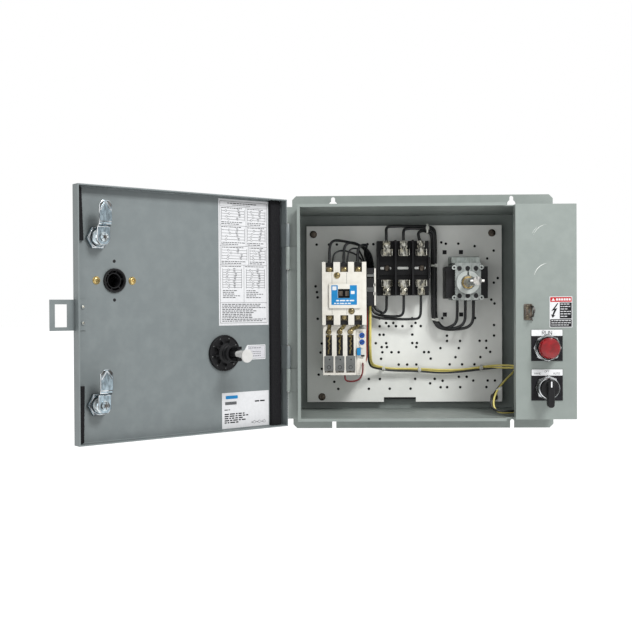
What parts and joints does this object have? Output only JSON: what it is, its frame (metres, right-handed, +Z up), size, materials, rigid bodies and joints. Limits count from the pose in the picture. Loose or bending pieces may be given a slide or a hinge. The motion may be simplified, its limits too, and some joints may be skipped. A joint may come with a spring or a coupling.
{
  "type": "enclosed combination motor starter",
  "caption": "Wall-hung sheet-steel box with a hinged door, holding a fused rotary disconnect, fuse block, motor contactor and thermal overload relay, with a selector and pilot light in front.",
  "frame": {"origin": "centre of the wall plate's back face, which meets the wall", "axes": "+X right seen from the front, +Y into the wall, +Z up; the front faces -Y"},
  "size_m": [0.68, 0.3553, 0.36],
  "materials": {
    "enclosure_paint": "satin",
    "panel_white": "satin",
    "zinc_steel": "satin",
    "dark_screws": "satin",
    "brass_screws": "satin",
    "bronze_zinc": "satin",
    "chrome": "polished",
    "black_plastic": "moulded",
    "starter_white": "moulded",
    "switch_grey": "moulded",
    "blue_plastic": "moulded",
    "red_lens": "gloss",
    "label_print": "printed",
    "legend_print": "printed",
    "gasket_foam": "foam",
    "wire_black": "smooth",
    "wire_colours": "smooth",
    "tie_nylon": "smooth",
    "coil_copper": "wound",
    "core_iron": "laminated"
  },
  "bodies": {
    "enclosure": {"enclosure_shell": "enclosure_paint", "wall_plate": "enclosure_paint", "fixed_front_panel": "enclosure_paint", "mounting_panel": "panel_white", "panel_standoffs": "zinc_steel", "panel_screws": "dark_screws", "box_hinge_leaves": "enclosure_paint", "hinge_pins": "dark_screws", "padlock_staple": "bronze_zinc", "staple_rivets": "bronze_zinc", "warning_label": "label_print", "pilot_legend_plate": "legend_print", "pilot_light_body": "black_plastic", "pilot_bezel": "chrome", "pilot_lens": "red_lens", "selector_legend_plate": "legend_print", "selector_body": "black_plastic", "selector_bezel": "chrome", "contactor_base": "black_plastic", "contactor_cover": "starter_white", "contactor_screws": "brass_screws", "contactor_core": "core_iron", "contactor_coil": "coil_copper", "aux_contact_block": "black_plastic", "overload_housing": "starter_white", "heater_elements": "brass_screws", "overload_screws": "brass_screws", "trip_unit": "starter_white", "fuse_block_base": "black_plastic", "fuse_clips": "brass_screws", "fuse_block_screws": "brass_screws", "disconnect_bracket": "zinc_steel", "disconnect_body": "switch_grey", "disconnect_side_blocks": "black_plastic", "disconnect_terminals": "brass_screws", "disconnect_collar": "starter_white", "starter_wires": "wire_black", "line_wires": "wire_black", "control_wires": "wire_colours", "jumper_wire": "wire_black", "cable_ties": "tie_nylon"},
    "door": {"door_panel": "enclosure_paint", "door_hinge_leaves": "enclosure_paint", "hinge_side_gasket": "gasket_foam", "free_side_gaskets": "gasket_foam", "door_labels": "label_print", "padlock_hasp": "enclosure_paint", "latch_housings": "zinc_steel", "handle_escutcheon": "black_plastic", "escutcheon_screws": "brass_screws", "reset_guide": "black_plastic"},
    "upper_latch": {"upper_latch_cam": "zinc_steel"},
    "lower_latch": {"lower_latch_cam": "zinc_steel"},
    "door_handle": {"door_handle": "black_plastic"},
    "reset_plunger": {"reset_plunger": "starter_white"},
    "switch_rotor": {"switch_shaft": "zinc_steel", "shaft_cross_pin": "dark_screws"},
    "selector_knob": {"selector_knob": "black_plastic"},
    "contact_carrier": {"contact_carrier": "black_plastic"},
    "overload_reset": {"overload_reset_button": "blue_plastic"}
  },
  "joints": [
    {"name": "door_swing", "type": "hinge", "parent": "enclosure", "child": "door", "pos_m": [-0.2009, -0.1399, 0], "axis": [0, 0, 1], "range_deg": [0, 139.66]},
    {"name": "upper_latch_turn", "type": "hinge", "parent": "door", "child": "upper_latch", "pos_m": [-0.42536, -0.31727, 0.096], "axis": [0.6473, -0.7622, 0], "range_deg": [0, 90]},
    {"name": "lower_latch_turn", "type": "hinge", "parent": "door", "child": "lower_latch", "pos_m": [-0.42536, -0.31727, -0.112], "axis": [0.6473, -0.7622, 0], "range_deg": [0, 90]},
    {"name": "handle_turn", "type": "hinge", "parent": "door", "child": "door_handle", "pos_m": [-0.41341, -0.29348, 0.043], "axis": [0.6473, -0.7622, 0], "range_deg": [0, 90]},
    {"name": "reset_push", "type": "slide", "parent": "door", "child": "reset_plunger", "axis": [0.6473, -0.7622, 0], "range_m": [0, 0.009], "stiffness_N_per_m": 200, "springref_m": -0.002},
    {"name": "switch_turn", "type": "hinge", "parent": "enclosure", "child": "switch_rotor", "pos_m": [0.0605, -0.1, 0.043], "axis": [0, 1, 0], "range_deg": [0, 90]},
    {"name": "selector_turn", "type": "hinge", "parent": "enclosure", "child": "selector_knob", "pos_m": [0.1597, -0.165, -0.1055], "axis": [0, 1, 0], "range_deg": [-45, 45]},
    {"name": "contactor_pull", "type": "slide", "parent": "enclosure", "child": "contact_carrier", "axis": [0, 1, 0], "range_m": [0, 0.005], "stiffness_N_per_m": 300, "springref_m": -0.001},
    {"name": "overload_reset_push", "type": "slide", "parent": "enclosure", "child": "overload_reset", "axis": [0, 1, 0], "range_m": [0, 0.003], "stiffness_N_per_m": 300, "springref_m": -0.001}
  ]
}
